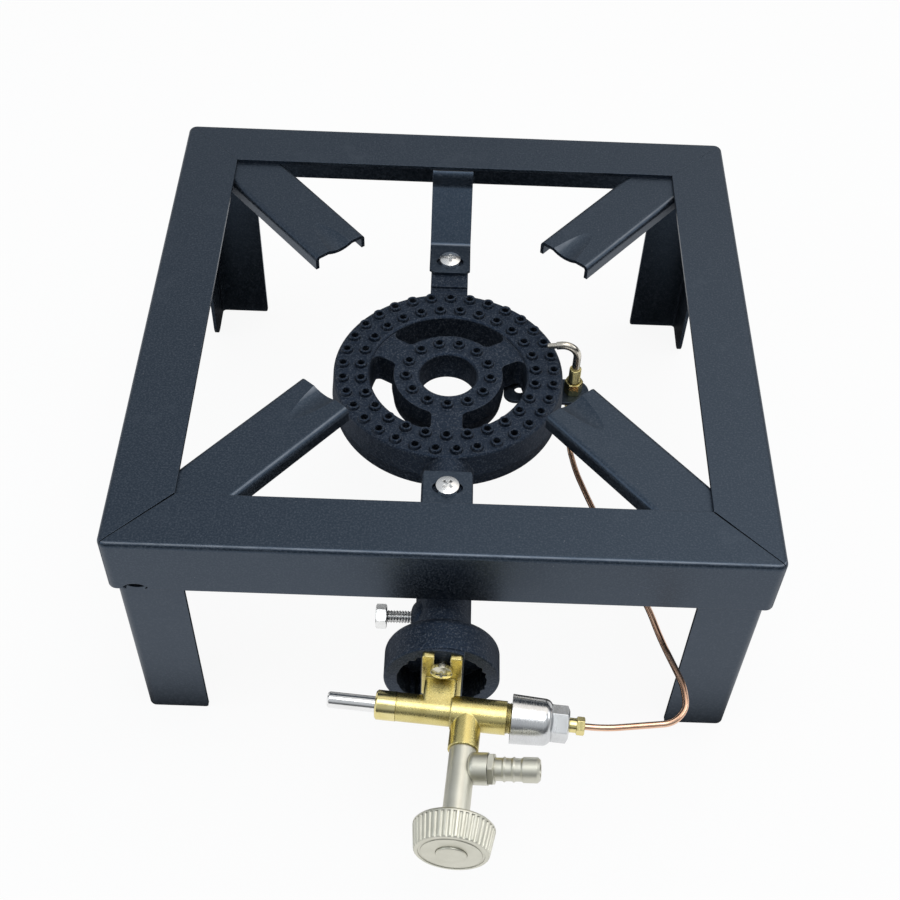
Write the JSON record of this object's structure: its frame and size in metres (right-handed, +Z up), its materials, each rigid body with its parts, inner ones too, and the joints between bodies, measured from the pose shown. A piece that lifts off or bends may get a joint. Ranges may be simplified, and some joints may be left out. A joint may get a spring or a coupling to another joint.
{
  "type": "single burner gas stove",
  "caption": "Square angle-steel gas stove stand with a cast ring burner, diagonal pan supports, and a brass safety valve with needle knob, hose barb and thermocouple.",
  "frame": {"origin": "on the floor, under the middle of the square stand and the burner's axis", "axes": "+X to the right and +Y to the rear as seen from the knob, +Z up"},
  "size_m": [0.302, 0.4171, 0.136],
  "materials": {
    "black_coat": "satin black powder coat",
    "black_casting": "matte black sand casting",
    "bright_zinc": "bright zinc plate",
    "brass": "forged and turned brass",
    "nickel": "satin nickel plate",
    "copper": "drawn copper",
    "rubber": "nitrile rubber",
    "steel": "turned steel"
  },
  "bodies": {
    "base": {"bracket_screws": "bright_zinc", "burner_bracket_front": "black_coat", "burner_bracket_rear": "black_coat", "burner_head": "black_casting", "burner_jet": "brass", "frame_front_rail": "black_coat", "frame_left_rail": "black_coat", "frame_rear_rail": "black_coat", "frame_right_rail": "black_coat", "gland_nut": "brass", "hose_barb": "nickel", "leg_front_left": "black_coat", "leg_front_right": "black_coat", "leg_rear_left": "black_coat", "leg_rear_right": "black_coat", "magnet_can": "steel", "magnet_cap": "steel", "magnet_coil": "copper", "magnet_core": "steel", "needle_valve_body": "nickel", "pan_support_front_left": "black_coat", "pan_support_front_right": "black_coat", "pan_support_rear_left": "black_coat", "pan_support_rear_right": "black_coat", "plunger_sleeve": "brass", "plunger_spring": "steel", "stem_packing": "rubber", "thermocouple_bracket": "black_coat", "thermocouple_bracket_screw": "bright_zinc", "thermocouple_bush": "brass", "thermocouple_end_nut": "brass", "thermocouple_lead": "copper", "thermocouple_lock_nuts": "brass", "thermocouple_probe": "steel", "valve_body": "brass", "valve_fixing_screw": "bright_zinc", "valve_spring": "steel", "venturi_bell": "black_casting", "venturi_clamp_bolt": "bright_zinc"},
    "plunger": {"safety_plunger": "steel", "plunger_o_ring": "rubber"},
    "valve": {"valve_disc": "steel", "valve_seal": "rubber"},
    "needle": {"needle_stem": "steel"},
    "knob": {"control_knob": "nickel", "knob_screw": "bright_zinc", "knob_cap": "nickel"}
  },
  "joints": [
    {"name": "plunger_push", "type": "slide", "parent": "base", "child": "plunger", "axis": [0.9965, -0.0837, 0], "range_m": [0, 0.005], "stiffness_N_per_m": 400, "springref_m": -0.003, "deforming": ["plunger_spring"]},
    {"name": "valve_lift", "type": "slide", "parent": "base", "child": "valve", "axis": [0.9965, -0.0837, 0], "range_m": [0, 0.005], "stiffness_N_per_m": 200, "springref_m": -0.003, "deforming": ["valve_spring"]},
    {"name": "needle_travel", "type": "slide", "parent": "base", "child": "needle", "axis": [-0.0837, -0.9965, 0], "range_m": [0, 0.0025]},
    {"name": "knob_turn", "type": "hinge", "parent": "needle", "child": "knob", "pos_m": [0.00805, -0.25712, 0.082], "axis": [-0.0837, -0.9965, 0], "range_deg": [0, 900]}
  ],
  "couplings": [
    {"joint": "valve_lift", "follows": "plunger_push", "ratio": 1},
    {"joint": "knob_turn", "follows": "needle_travel", "rad_per_m": 6283.2}
  ]
}
